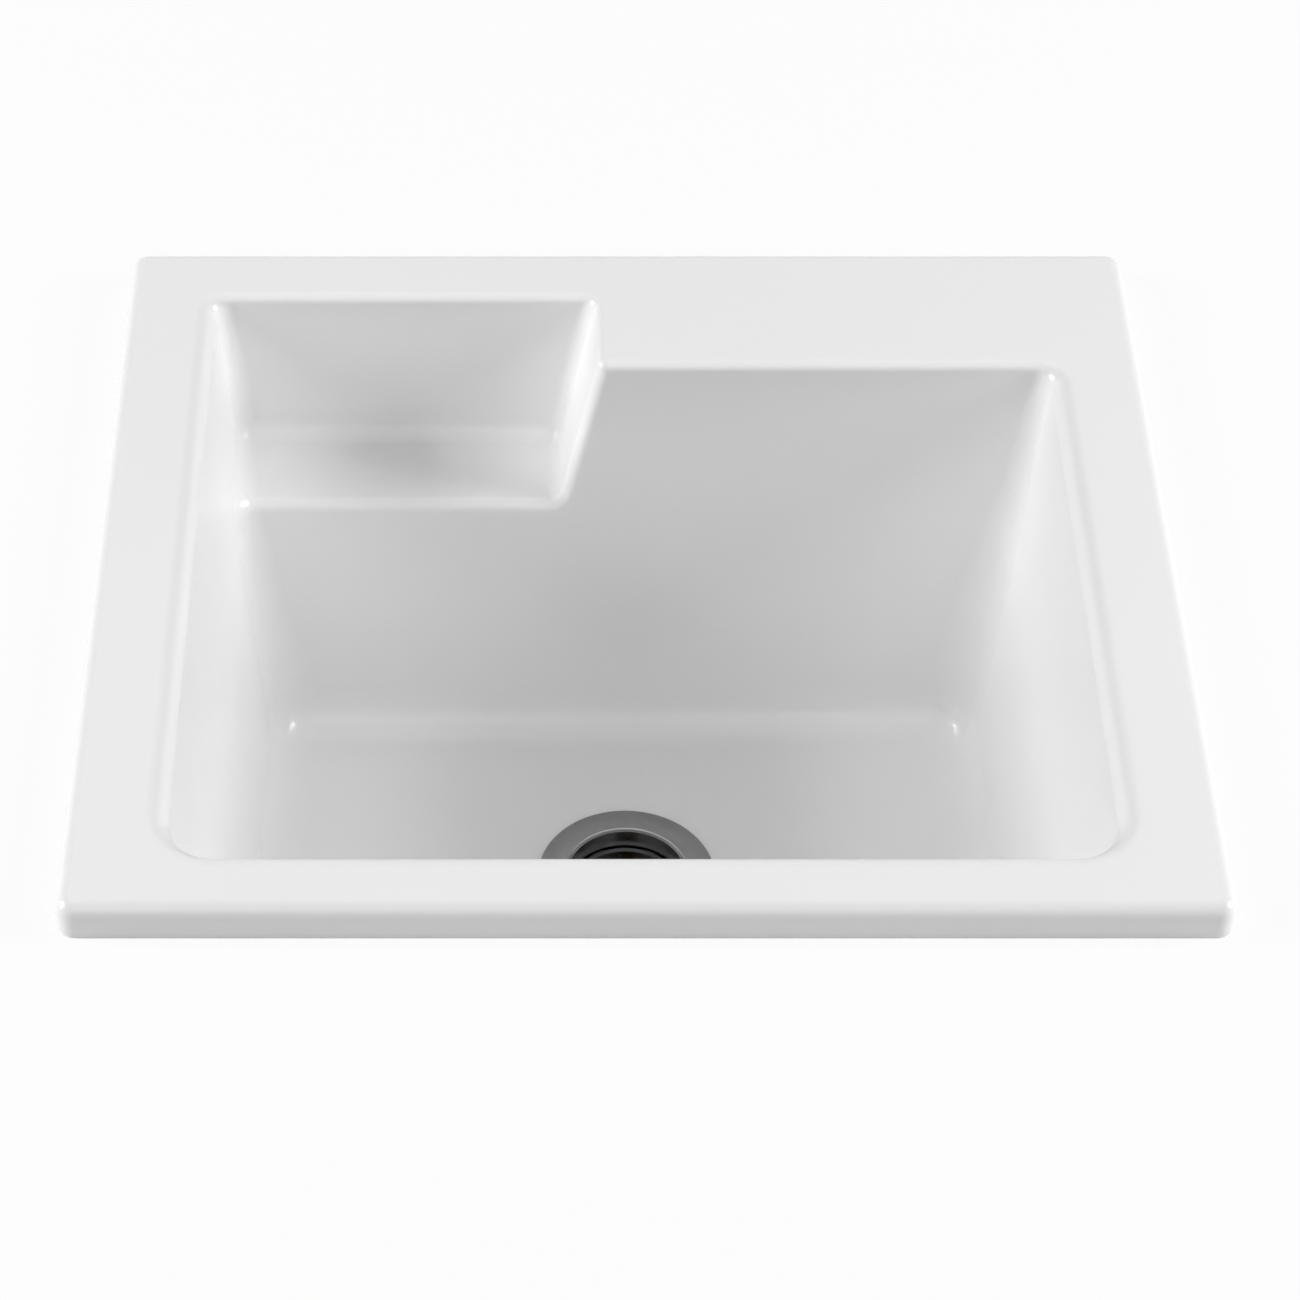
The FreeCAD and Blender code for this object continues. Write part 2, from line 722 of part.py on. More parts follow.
def make_basket():
    """Perforated basket with its stem, knob and stopper, as it stands when pushed down."""
    wall_top = "basket_radius - basket_rim_width"
    floor_outer = "basket_floor_radius + basket_sheet / 2"
    rim_under = "-basket_rim_depth - basket_rim_height"
    cup = turned("basket_cup", [
        ("basket_radius", rim_under),
        ("basket_radius", "-basket_rim_depth"),
        (wall_top, "-basket_rim_depth"),
        ("basket_floor_radius", "-basket_floor_depth"),
        (STEM_HOLE, "-basket_floor_depth"),
        (STEM_HOLE, f"-{BASKET_UNDERSIDE}"),
        (floor_outer, f"-{BASKET_UNDERSIDE}"),
        (f"{wall_top} + basket_sheet", rim_under),
    ])
    soften(cup, "basket_bend", ("basket_floor_radius", "-basket_floor_depth"))
    soften(cup, "basket_bend + basket_sheet", (floor_outer, f"-{BASKET_UNDERSIDE}"))

    def round_hole(sketch, place):
        """Circle on the X axis."""
        circle = sketch.addGeometry(Part.Circle(Vector(value(place), 0, 0), Vector(0, 0, 1), 1.0), False)
        sketch.addConstraint(Sketcher.Constraint("PointOnObject", circle, 3, -1))
        across = sketch.addConstraint(Sketcher.Constraint("DistanceX", -1, 1, circle, 3, value(place)))
        size = sketch.addConstraint(Sketcher.Constraint("Radius", circle, value("basket_hole_radius")))
        sketch.setExpression(f"Constraints[{across}]", on_sheet(place))
        sketch.setExpression(f"Constraints[{size}]", on_sheet("basket_hole_radius"))

    def wall_slot(sketch):
        """Upright slot halfway up the basket's wall."""
        centre = "-(basket_rim_depth + basket_rim_height + basket_floor_depth) / 2"
        draw(sketch, [
            ("-basket_slot_width / 2", f"{centre} - basket_slot_height / 2"),
            ("basket_slot_width / 2", f"{centre} - basket_slot_height / 2"),
            ("basket_slot_width / 2", f"{centre} + basket_slot_height / 2"),
            ("-basket_slot_width / 2", f"{centre} + basket_slot_height / 2"),
        ])

    cut_round(cup, "inner_holes", "XY_Plane", "basket_inner_count",
              lambda sketch: round_hole(sketch, "basket_inner_ring"))
    cut_round(cup, "outer_holes", "XY_Plane", "basket_outer_count",
              lambda sketch: round_hole(sketch, "basket_outer_ring"))
    cut_round(cup, "wall_slots", "XZ_Plane", "basket_slot_count", wall_slot)

    groove = "stem_radius - catch_bite"
    groove_top = "-catch_depth + catch_height / 2"
    groove_bottom = "-catch_depth - catch_height / 2"
    turned("basket_post", [
        ("0", "-stem_tip_depth"),
        (groove, "-stem_tip_depth"),
        ("stem_radius", "-stem_tip_depth + catch_bite"),
        ("stem_radius", groove_bottom),
        (groove, groove_bottom),
        (groove, groove_top),
        ("stem_radius", groove_top),
        ("stem_radius", "-basket_floor_depth"),
        ("stem_collar_radius", "-basket_floor_depth"),
        ("stem_collar_radius", "-basket_floor_depth + stem_collar_height"),
        ("stem_radius", "-basket_floor_depth + stem_collar_height"),
        ("stem_radius", f"-{KNOB_BASE}"),
        ("stem_thread_radius", f"-{KNOB_BASE}"),
        ("stem_thread_radius", f"-{KNOB_BASE} + stem_thread_length"),
        ("0", f"-{KNOB_BASE} + stem_thread_length"),
    ])
    knob = turned("basket_knob", [
        ("stem_thread_radius + stem_fit", f"-{KNOB_BASE}"),
        ("knob_neck_radius", f"-{KNOB_BASE}"),
        ("knob_neck_radius", f"-{KNOB_BASE} + knob_neck_height"),
        ("knob_radius", f"-{KNOB_BASE} + knob_neck_height + knob_flare_height"),
        ("knob_radius", "-knob_depth"),
        ("0", "-knob_depth"),
        ("0", f"-{KNOB_BASE} + stem_thread_length + stem_fit"),
        ("stem_thread_radius + stem_fit", f"-{KNOB_BASE} + stem_thread_length + stem_fit"),
    ])
    soften(knob, "knob_edge_radius", ("knob_radius", "-knob_depth"))
    ring("catch_ring", f"{groove} + stem_fit", "stem_radius + catch_bite", groove_top, "catch_height")


def make_stopper():
    """Rubber cone that shuts the outlet, with the plate and nut that hold it to the stem."""
    slope = "(well_radius - seat_radius) / seat_drop"
    edge_level = f"-{BASKET_UNDERSIDE} - stopper_edge"
    reach_top = f"well_radius - seat_fit - ({BASKET_UNDERSIDE} + stopper_edge - well_depth) * {slope}"
    reach_bottom = f"well_radius - seat_fit - ({STOPPER_UNDERSIDE} - well_depth) * {slope}"
    turned("stopper", [
        (STEM_HOLE, f"-{STOPPER_UNDERSIDE}"),
        (reach_bottom, f"-{STOPPER_UNDERSIDE}"),
        (reach_top, edge_level),
        (reach_top, f"-{BASKET_UNDERSIDE}"),
        (STEM_HOLE, f"-{BASKET_UNDERSIDE}"),
    ])
    ring("stopper_washer", STEM_HOLE, "plate_radius", f"-{STOPPER_UNDERSIDE}", "plate_thickness")
    level = f"{DRAIN_LEVEL} - {NUT_TOP} - nut_height"
    blank = made("Part::Prism", "nut_blank", Circumradius="nut_corner_radius", Height="nut_height",
                 Placement__Base__z=level)
    blank.Polygon = 6
    bore = cylinder("nut_bore", STEM_HOLE, "nut_height", level)
    node(cut("nut", blank, bore), "stopper_nut")


def check_and_write():
    """Stops on any failed object or shape, then writes one file for each sub-part."""
    for item in doc.Objects:
        if "Invalid" in item.State or "Error" in item.State:
            raise RuntimeError(f"{item.Name} failed: {item.State}")
    os.makedirs("parts", exist_ok=True)
    for item in nodes:
        shape = item.Shape
        if shape.isNull() or not shape.isValid() or len(shape.Solids) != 1:
            raise RuntimeError(f"{item.Label} is not one sound solid")
    for item in nodes:
        item.Shape.exportStep(f"parts/{item.Label}.step")


make_shell()
make_strainer()
make_clamp()
make_tailpiece()
make_basket()
make_stopper()
check_and_write()
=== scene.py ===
"""Looks of a drop-in laundry sink: gloss acrylic basin, soap shelf and basket strainer drain."""
import logging
import math
from dataclasses import dataclass, field
from enum import Enum
from typing import Any, Callable

import bpy
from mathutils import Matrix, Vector


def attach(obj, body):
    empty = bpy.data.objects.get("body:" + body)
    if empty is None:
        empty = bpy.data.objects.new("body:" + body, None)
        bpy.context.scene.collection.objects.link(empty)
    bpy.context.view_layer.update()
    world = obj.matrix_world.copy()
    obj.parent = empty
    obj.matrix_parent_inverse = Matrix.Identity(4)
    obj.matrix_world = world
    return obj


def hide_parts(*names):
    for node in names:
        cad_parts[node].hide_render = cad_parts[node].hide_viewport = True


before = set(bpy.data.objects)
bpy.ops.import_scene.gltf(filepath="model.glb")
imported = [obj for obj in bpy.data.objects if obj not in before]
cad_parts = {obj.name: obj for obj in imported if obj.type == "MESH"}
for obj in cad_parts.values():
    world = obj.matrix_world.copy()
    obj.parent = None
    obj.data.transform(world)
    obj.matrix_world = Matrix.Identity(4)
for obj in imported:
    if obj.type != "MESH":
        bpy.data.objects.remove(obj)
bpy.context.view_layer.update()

LOG = logging.getLogger("laundry_sink")
MM = 0.001
# height of the dished seat that the drain is clamped to, over the rim's underside
DRAIN_LEVEL = -269.2 * MM
# angle between two faces beyond which their shared edge stays sharp
SMOOTH_ANGLE = math.radians(35.0)
# a wave texture turns through this many radians for one unit of its scaled coordinate
WAVE_RADIANS = 20.0
# distance within which two corners of a mesh are one
WELD = 0.001 * MM
ORIGIN = (0.0, 0.0, 0.0)
# a Mix node's colour sockets go by number, because its other sockets have the same names
MIX_SHARE, MIX_FIRST, MIX_SECOND, MIX_RESULT = 0, 6, 7, 2


class Body(Enum):
    """Moving bodies that a piece can ride on."""

    SINK = "sink"
    BASKET = "basket"


class Slot(Enum):
    """Material slots of the record."""

    ACRYLIC = "acrylic"
    FIBREGLASS = "fibreglass"
    POLISHED_STEEL = "polished_steel"
    SATIN_STEEL = "satin_steel"
    BRASS = "brass"
    ZINC = "zinc"
    BLACK_RUBBER = "black_rubber"
    FIBRE_BOARD = "fibre_board"
    WHITE_PLASTIC = "white_plastic"


def linear(colour: str) -> tuple[float, float, float, float]:
    """Turns an sRGB hex colour into linear light.

    Args:
        colour: Colour such as #F0F0EE.

    Returns:
        Red, green, blue and full opacity.
    """
    shares = [int(colour[at:at + 2], 16) / 255 for at in (1, 3, 5)]
    light = [
        share / 12.92 if share <= 0.04045 else ((share + 0.055) / 1.055) ** 2.4
        for share in shares
    ]
    return light[0], light[1], light[2], 1.0


def per_size(size_mm: float) -> float:
    """Scale at which a noise texture's cells are a size in millimetres across."""
    return 1.0 / (size_mm * MM)


def add_node(
        tree: bpy.types.NodeTree, kind: str, inputs: dict[str | int, Any],
        **settings: Any) -> bpy.types.Node:
    """Adds a shader node with its settings and links.

    Args:
        tree: Node tree that gets the node.
        kind: Node type without its ShaderNode prefix.
        inputs: Numbers, colours or sockets, by the input's name or number.
        settings: The node's own properties.

    Returns:
        The new node.
    """
    node = tree.nodes.new(f"ShaderNode{kind}")
    for name, value in settings.items():
        setattr(node, name, value)
    for name, value in inputs.items():
        if isinstance(value, bpy.types.NodeSocket):
            tree.links.new(value, node.inputs[name])
        else:
            node.inputs[name].default_value = value
    return node


@dataclass(frozen=True)
class Finish:
    """Surface finish: a real material and how its surface was made."""

    label: str
    slot: Slot
    colour: str
    second_colour: str
    roughness: tuple[float, float]

    def surface(self, tree: bpy.types.NodeTree, place: bpy.types.NodeSocket) -> dict[str, Any]:
        """Adds the finish's pattern.

        Args:
            tree: Node tree of the material.
            place: Object coordinates in metres.

        Returns:
            Values and sockets for the surface shader, by input name.
        """
        raise NotImplementedError

    def blend(self, tree: bpy.types.NodeTree, share: bpy.types.NodeSocket) -> bpy.types.NodeSocket:
        """Blends from the first colour to the second.

        Args:
            tree: Node tree of the material.
            share: How much of the second colour shows.

        Returns:
            Socket with the blended colour.
        """
        colours = {
            MIX_SHARE: share,
            MIX_FIRST: linear(self.colour),
            MIX_SECOND: linear(self.second_colour),
        }
        return add_node(tree, "Mix", colours, data_type="RGBA").outputs[MIX_RESULT]

    def gloss(self, tree: bpy.types.NodeTree, share: bpy.types.NodeSocket) -> bpy.types.NodeSocket:
        """Spreads the roughness between its limits.

        Args:
            tree: Node tree of the material.
            share: Pattern that runs from 0 to 1.

        Returns:
            Socket with the roughness.
        """
        limits = {"Value": share, "To Min": self.roughness[0], "To Max": self.roughness[1]}
        return add_node(tree, "MapRange", limits).outputs["Result"]

    def material(self) -> bpy.types.Material:
        """Gives the finish's material, and makes it the first time.

        Returns:
            The node material.
        """
        if self.label in bpy.data.materials:
            return bpy.data.materials[self.label]
        made = bpy.data.materials.new(self.label)
        made.use_nodes = True
        tree = made.node_tree
        tree.nodes.clear()
        place = add_node(tree, "TexCoord", {}).outputs["Object"]
        shader = add_node(tree, "BsdfPrincipled", self.surface(tree, place))
        add_node(tree, "OutputMaterial", {"Surface": shader.outputs["BSDF"]})
        return made


@dataclass(frozen=True)
class FormedSheet(Finish):
    """Gloss plastic sheet drawn over a mould: slow waves and a faint peel in its reflections."""

    ior: float
    cloud_mm: float
    wave_mm: float
    wave_rise_mm: float
    peel_mm: float
    peel_rise_mm: float

    def surface(self, tree: bpy.types.NodeTree, place: bpy.types.NodeSocket) -> dict[str, Any]:
        """Adds clouds, waves and peel.

        Args:
            tree: Node tree of the material.
            place: Object coordinates in metres.

        Returns:
            Values and sockets for the surface shader, by input name.
        """
        cloud = add_node(tree, "TexNoise", {
            "Vector": place,
            "Scale": per_size(self.cloud_mm),
            "Detail": 3.0,
        })
        wave = add_node(tree, "TexNoise", {
            "Vector": place,
            "Scale": per_size(self.wave_mm),
            "Detail": 1.0,
        })
        peel = add_node(tree, "TexNoise", {
            "Vector": place,
            "Scale": per_size(self.peel_mm),
            "Detail": 1.0,
        })
        slow = add_node(tree, "Bump", {
            "Height": wave.outputs["Fac"],
            "Distance": self.wave_rise_mm * MM,
        })
        fine = add_node(tree, "Bump", {
            "Height": peel.outputs["Fac"],
            "Distance": self.peel_rise_mm * MM,
            "Normal": slow.outputs["Normal"],
        })
        return {
            "Base Color": self.blend(tree, cloud.outputs["Fac"]),
            "Roughness": self.gloss(tree, cloud.outputs["Fac"]),
            "IOR": self.ior,
            "Normal": fine.outputs["Normal"],
        }


@dataclass(frozen=True)
class LaidFibres(Finish):
    """Short fibres that lie in all directions in a binder."""

    ior: float
    fibre_length_mm: float
    fibre_width_mm: float
    fibre_rise_mm: float
    turns: tuple[tuple[float, float, float], ...]
    strand_edge: tuple[float, float] = (0.55, 0.68)

    def surface(self, tree: bpy.types.NodeTree, place: bpy.types.NodeSocket) -> dict[str, Any]:
        """Adds one layer of fibres for each direction, the upper ones over the lower.

        Args:
            tree: Node tree of the material.
            place: Object coordinates in metres.

        Returns:
            Values and sockets for the surface shader, by input name.
        """
        length, width = self.fibre_length_mm * MM, self.fibre_width_mm * MM
        laid = None
        for turn in self.turns:
            lay = add_node(tree, "Mapping", {
                "Vector": place,
                "Rotation": tuple(math.radians(angle) for angle in turn),
                "Scale": (length, width, width),
            }, vector_type="TEXTURE")
            strand = add_node(tree, "TexNoise", {
                "Vector": lay.outputs["Vector"],
                "Scale": 1.0,
                "Detail": 1.0,
            })
            edge = add_node(tree, "MapRange", {
                "Value": strand.outputs["Fac"],
                "From Min": self.strand_edge[0],
                "From Max": self.strand_edge[1],
            })
            layer = edge.outputs["Result"]
            if laid is not None:
                upper = add_node(tree, "Math", {0: laid, 1: layer}, operation="MAXIMUM")
                layer = upper.outputs["Value"]
            laid = layer
        bump = add_node(tree, "Bump", {"Height": laid, "Distance": self.fibre_rise_mm * MM})
        return {
            "Base Color": self.blend(tree, laid),
            "Roughness": self.gloss(tree, laid),
            "IOR": self.ior,
            "Normal": bump.outputs["Normal"],
        }


@dataclass(frozen=True)
class TurnedMetal(Finish):
    """Metal spun or turned round the drain's axis, with tool rings and a little wear."""

    ring_mm: float
    ring_rise_mm: float
    wear_mm: float

    def surface(self, tree: bpy.types.NodeTree, place: bpy.types.NodeSocket) -> dict[str, Any]:
        """Adds tool rings and wear.

        Args:
            tree: Node tree of the material.
            place: Object coordinates in metres, whose Z axis is the drain's axis.

        Returns:
            Values and sockets for the surface shader, by input name.
        """
        rings = add_node(tree, "TexWave", {
            "Vector": place,
            "Scale": math.tau / (WAVE_RADIANS * self.ring_mm * MM),
            "Distortion": 0.6,
            "Detail": 1.0,
            "Detail Scale": 0.2,
        }, wave_type="RINGS", rings_direction="Z")
        wear = add_node(tree, "TexNoise", {
            "Vector": place,
            "Scale": per_size(self.wear_mm),
            "Detail": 4.0,
        })
        bump = add_node(tree, "Bump", {
            "Height": rings.outputs["Fac"],
            "Distance": self.ring_rise_mm * MM,
        })
        worn = add_node(tree, "Math", {
            0: rings.outputs["Fac"],
            1: wear.outputs["Fac"],
        }, operation="MULTIPLY")
        return {
            "Base Color": self.blend(tree, wear.outputs["Fac"]),
            "Roughness": self.gloss(tree, worn.outputs["Value"]),
            "Metallic": 1.0,
            "Normal": bump.outputs["Normal"],
        }


@dataclass(frozen=True)
class PaintedShadeMetal(TurnedMetal):
    """Turned metal with painted shade: a darker colour on the walls that face the drain's axis."""

    # colour of the painted shade, and how far out, in mm, a wall facing the axis stands for the
    # painted shade to be full and to start
    painted_shade: str
    painted_shade_reach_mm: tuple[float, float]

    def surface(self, tree: bpy.types.NodeTree, place: bpy.types.NodeSocket) -> dict[str, Any]:
        """Adds painted shade to walls that look towards the drain's axis.

        Args:
            tree: Node tree of the material.
            place: Object coordinates in metres, whose Z axis is the drain's axis.

        Returns:
            Values and sockets for the surface shader, by input name.
        """
        values = super().surface(tree, place)
        across = add_node(tree, "VectorMath", {0: place, 1: (1.0, 1.0, 0.0)}, operation="MULTIPLY")
        outward = add_node(tree, "VectorMath", {
            0: across.outputs["Vector"],
            1: place.node.outputs["Normal"],
        }, operation="DOT_PRODUCT")
        # Painted shade: share of the plain colour, falling to 0 on walls that face the drain's axis
        # from farther out; it stands in for the shade inside the well, cup and tailpiece
        unshaded_share = add_node(tree, "MapRange", {
            "Value": outward.outputs["Value"],
            "From Min": -self.painted_shade_reach_mm[0] * MM,
            "From Max": -self.painted_shade_reach_mm[1] * MM,
        })
        colours = {
            MIX_SHARE: unshaded_share.outputs["Result"],
            MIX_FIRST: linear(self.painted_shade),
            MIX_SECOND: values["Base Color"],
        }
        shaded_colour = add_node(tree, "Mix", colours, data_type="RGBA")
        values["Base Color"] = shaded_colour.outputs[MIX_RESULT]
        return values


@dataclass(frozen=True)
class GrainedSurface(Finish):
    """Cast, pressed or moulded surface with an even grain and soft blotches."""

    metallic: float
    grain_mm: float
    grain_rise_mm: float
    blotch_mm: float

    def surface(self, tree: bpy.types.NodeTree, place: bpy.types.NodeSocket) -> dict[str, Any]:
        """Adds grain and blotches.

        Args:
            tree: Node tree of the material.
            place: Object coordinates in metres.

        Returns:
            Values and sockets for the surface shader, by input name.
        """
        blotch = add_node(tree, "TexNoise", {
            "Vector": place,
            "Scale": per_size(self.blotch_mm),
            "Detail": 3.0,
        })
        grain = add_node(tree, "TexNoise", {
            "Vector": place,
            "Scale": per_size(self.grain_mm),
            "Detail": 2.0,
        })
        bump = add_node(tree, "Bump", {
            "Height": grain.outputs["Fac"],
            "Distance": self.grain_rise_mm * MM,
        })
        return {
            "Base Color": self.blend(tree, blotch.outputs["Fac"]),
            "Roughness": self.gloss(tree, grain.outputs["Fac"]),
            "Metallic": self.metallic,
            "Normal": bump.outputs["Normal"],
        }


# Cast acrylic sheet, softened and drawn down by vacuum: an even white with a wet gloss that ripples
# very slightly.
ACRYLIC = FormedSheet(
    label="white_acrylic_vacuum_formed", slot=Slot.ACRYLIC, colour="#F6F6F6",
    second_colour="#F3F3F3", roughness=(0.16, 0.24), ior=1.49, cloud_mm=160.0, wave_mm=70.0,
    wave_rise_mm=0.25, peel_mm=4.0, peel_rise_mm=0.004)
# Chopped glass strands sprayed on in resin and rolled down: cream, with pale crossing strands that
# stand up a little.
FIBREGLASS = LaidFibres(
    label="glass_fibre_sprayed_in_resin", slot=Slot.FIBREGLASS, colour="#CFC8B2",
    second_colour="#E6E1D2", roughness=(0.35, 0.6), ior=1.55, fibre_length_mm=38.0,
    fibre_width_mm=2.2, fibre_rise_mm=0.35, turns=(
        (0.0, 0.0, 20.0), (0.0, 60.0, 75.0), (70.0, 20.0, 130.0), (35.0, 80.0, 0.0),
        (15.0, 35.0, 165.0)))
# Stainless sheet, deep drawn, then polished on a lathe: mid grey with fine rings, drawn wider than
# the real 0.3 mm, and darker inside: painted shade on the walls that face the drain's axis.
DRAIN_STEEL = PaintedShadeMetal(
    label="stainless_steel_drawn_and_polished", slot=Slot.POLISHED_STEEL, colour="#969697",
    second_colour="#88888A", roughness=(0.16, 0.3), ring_mm=1.4, ring_rise_mm=0.004, wear_mm=9.0,
    # painted shade colour, and its reach in mm
    painted_shade="#6A6A6B", painted_shade_reach_mm=(28.0, 12.0))
# Stainless strip, stamped and tumbled: a soft grey with no clear reflections.
SPIDER_STEEL = GrainedSurface(
    label="stainless_steel_stamped_and_tumbled", slot=Slot.SATIN_STEEL, colour="#8B8C8E",
    second_colour="#7D7E80", roughness=(0.32, 0.45), metallic=1.0, grain_mm=0.7,
    grain_rise_mm=0.01, blotch_mm=12.0)
# Brass bar, turned and left bare: warm yellow with tool rings and a dulled skin.
BRASS = TurnedMetal(
    label="brass_bar_turned", slot=Slot.BRASS, colour="#BD9A55", second_colour="#A5833F",
    roughness=(0.22, 0.38), ring_mm=0.9, ring_rise_mm=0.004, wear_mm=5.0)
# Zinc alloy, die cast and not plated: dull blue-grey with a sandy skin.
ZINC = GrainedSurface(
    label="zinc_alloy_die_cast", slot=Slot.ZINC, colour="#94979B", second_colour="#7F8286",
    roughness=(0.42, 0.6), metallic=1.0, grain_mm=1.1, grain_rise_mm=0.05, blotch_mm=18.0)
# Black rubber, moulded: matt, with a slight grey bloom.
RUBBER = GrainedSurface(
    label="black_rubber_moulded", slot=Slot.BLACK_RUBBER, colour="#191919", second_colour="#262625",
    roughness=(0.62, 0.8), metallic=0.0, grain_mm=0.9, grain_rise_mm=0.03, blotch_mm=14.0)
# Wood fibre pressed into board: brown, with paler fibres.
FIBRE_BOARD = LaidFibres(
    label="fibre_board_pressed", slot=Slot.FIBRE_BOARD, colour="#86623D", second_colour="#A68057",
    roughness=(0.75, 0.9), ior=1.5, fibre_length_mm=6.0, fibre_width_mm=0.8, fibre_rise_mm=0.05,
    turns=((0.0, 0.0, 10.0), (0.0, 0.0, 70.0), (0.0, 0.0, 130.0)))
# Undyed nylon, moulded: creamy white with a soft sheen.
NYLON = GrainedSurface(
    label="natural_nylon_moulded", slot=Slot.WHITE_PLASTIC, colour="#E3E0D6",
    second_colour="#DAD6C9", roughness=(0.34, 0.46), metallic=0.0, grain_mm=1.4,
    grain_rise_mm=0.015, blotch_mm=16.0)


def select_nothing() -> None:
    """Leaves edit mode and deselects every object."""
    if bpy.context.object is not None and bpy.context.object.mode != "OBJECT":
        bpy.ops.object.mode_set(mode="OBJECT")
    bpy.ops.object.select_all(action="DESELECT")


def select_vertices(piece: bpy.types.Object, wanted: Callable[[Vector], bool]) -> None:
    """Selects a piece's vertices by place, and ends in edit mode.

    Args:
        piece: Mesh object that is being edited.
        wanted: Says for a vertex's place whether it is selected.
    """
    bpy.ops.object.mode_set(mode="EDIT")
    bpy.ops.mesh.select_mode(type="VERT")
    bpy.ops.mesh.select_all(action="DESELECT")
    bpy.ops.object.mode_set(mode="OBJECT")
    for vertex in piece.data.vertices:
        vertex.select = wanted(vertex.co)
    bpy.ops.object.mode_set(mode="EDIT")


def apply_modifier(piece: bpy.types.Object, kind: str, **settings: Any) -> None:
    """Adds a modifier to the active object and applies it.

    Args:
        piece: Active object.
        kind: Modifier type.
        settings: The modifier's own properties.
    """
    modifier = piece.modifiers.new(kind.lower(), kind)
    for name, value in settings.items():
        setattr(modifier, name, value)
    bpy.ops.object.modifier_apply(modifier=modifier.name)


@dataclass
class Thread:
    """Helical ridge of an outside screw thread round the drain's axis, in metres."""

    name: str
    root_radius: float
    low: float
    turns: int
    pitch: float = 2.3 * MM
    rise: float = 0.9 * MM
    sunk: float = 0.3 * MM
    root_share: float = 0.86
    crest_share: float = 0.3
    steps: int = 72

    def build(self) -> bpy.types.Object:
        """Models the ridge: a plane shaped to the thread's section, then carried round and up.

        Returns:
            The thread, with its place in its mesh.
        """
        select_nothing()
        middle = self.root_radius + (self.rise - self.sunk) / 2
        bpy.ops.mesh.primitive_plane_add(size=1.0, location=ORIGIN)
        piece = bpy.context.object
        piece.name = self.name
        self.shape_section(piece, middle)
        bpy.ops.object.mode_set(mode="OBJECT")
        apply_modifier(
            piece, "SCREW", axis="Z", angle=math.tau, screw_offset=self.pitch,
            iterations=self.turns, steps=self.steps, render_steps=self.steps)
        bpy.ops.object.mode_set(mode="EDIT")
        bpy.ops.mesh.select_all(action="SELECT")
        bpy.ops.mesh.remove_doubles(threshold=WELD)
        bpy.ops.mesh.fill_holes(sides=0)
        bpy.ops.mesh.select_all(action="SELECT")
        bpy.ops.mesh.normals_make_consistent(inside=False)
        bpy.ops.object.mode_set(mode="OBJECT")
        bpy.ops.object.shade_smooth_by_angle(angle=SMOOTH_ANGLE)
        return piece

    def shape_section(self, piece: bpy.types.Object, middle: float) -> None:
        """Turns the plane upright, narrows its outer edge to the crest and drops its face.

        Args:
            piece: Plane of unit size at the origin.
            middle: Radius of the section's middle.
        """
        bpy.ops.object.mode_set(mode="EDIT")
        bpy.ops.mesh.select_all(action="SELECT")
        bpy.ops.transform.rotate(
            value=math.radians(90.0), orient_axis="X", center_override=ORIGIN)
        bpy.ops.transform.resize(
            value=(self.rise + self.sunk, 1.0, self.root_share * self.pitch),
            center_override=ORIGIN)
        select_vertices(piece, lambda place: place.x > 0.0)
        narrow = self.crest_share / self.root_share
        bpy.ops.transform.resize(value=(1.0, 1.0, narrow), center_override=ORIGIN)
        bpy.ops.mesh.select_all(action="SELECT")
        bpy.ops.transform.translate(value=(middle, 0.0, self.low))
        bpy.ops.mesh.delete(type="ONLY_FACE")


@dataclass
class SubAssembly:
    """Group of the part's own solids, with the small pieces that are modelled here."""

    body: Body
    finishes: dict[str, Finish]
    threads: list[Thread] = field(default_factory=list)
    thread_finish: Finish = DRAIN_STEEL

    def build(self) -> list[bpy.types.Object]:
        """Models the group's threads and sets them on their body.

        Returns:
            The new pieces.
        """
        pieces = [thread.build() for thread in self.threads]
        for piece in pieces:
            piece.data.materials.append(self.thread_finish.material())
            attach(piece, self.body.value)
        return pieces

    def dress(self) -> list[bpy.types.Object]:
        """Gives each solid its finish.

        Returns:
            The solids' objects.
        """
        solids = []
        for name, finish in self.finishes.items():
            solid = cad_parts[name]
            solid.material_slots[0].material = finish.material()
            solids.append(solid)
        return solids


@dataclass
class Basin(SubAssembly):
    """Formed acrylic skin of rim, deck, bowl and shelf, and the layer sprayed on its back."""

    body: Body = Body.SINK
    finishes: dict[str, Finish] = field(default_factory=lambda: {
        "sink_shell": ACRYLIC,
        "fibreglass_backing": FIBREGLASS,
    })

    def build(self) -> list[bpy.types.Object]:
        """Models the skin as one sheet: a welded copy of the solid, smooth over its roundings.

        Returns:
            The new pieces.
        """
        select_nothing()
        skin = bpy.data.objects.new("basin_skin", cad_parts["sink_shell"].data.copy())
        bpy.context.scene.collection.objects.link(skin)
        skin.select_set(True)
        bpy.context.view_layer.objects.active = skin
        bpy.ops.mesh.customdata_custom_splitnormals_clear()
        bpy.ops.object.mode_set(mode="EDIT")
        bpy.ops.mesh.select_all(action="SELECT")
        bpy.ops.mesh.remove_doubles(threshold=WELD)
        bpy.ops.object.mode_set(mode="OBJECT")
        bpy.ops.object.shade_smooth_by_angle(angle=SMOOTH_ANGLE)
        apply_modifier(skin, "WEIGHTED_NORMAL", mode="FACE_AREA", keep_sharp=True)
        skin.material_slots[0].material = ACRYLIC.material()
        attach(skin, self.body.value)
        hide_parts("sink_shell")
        return [skin]


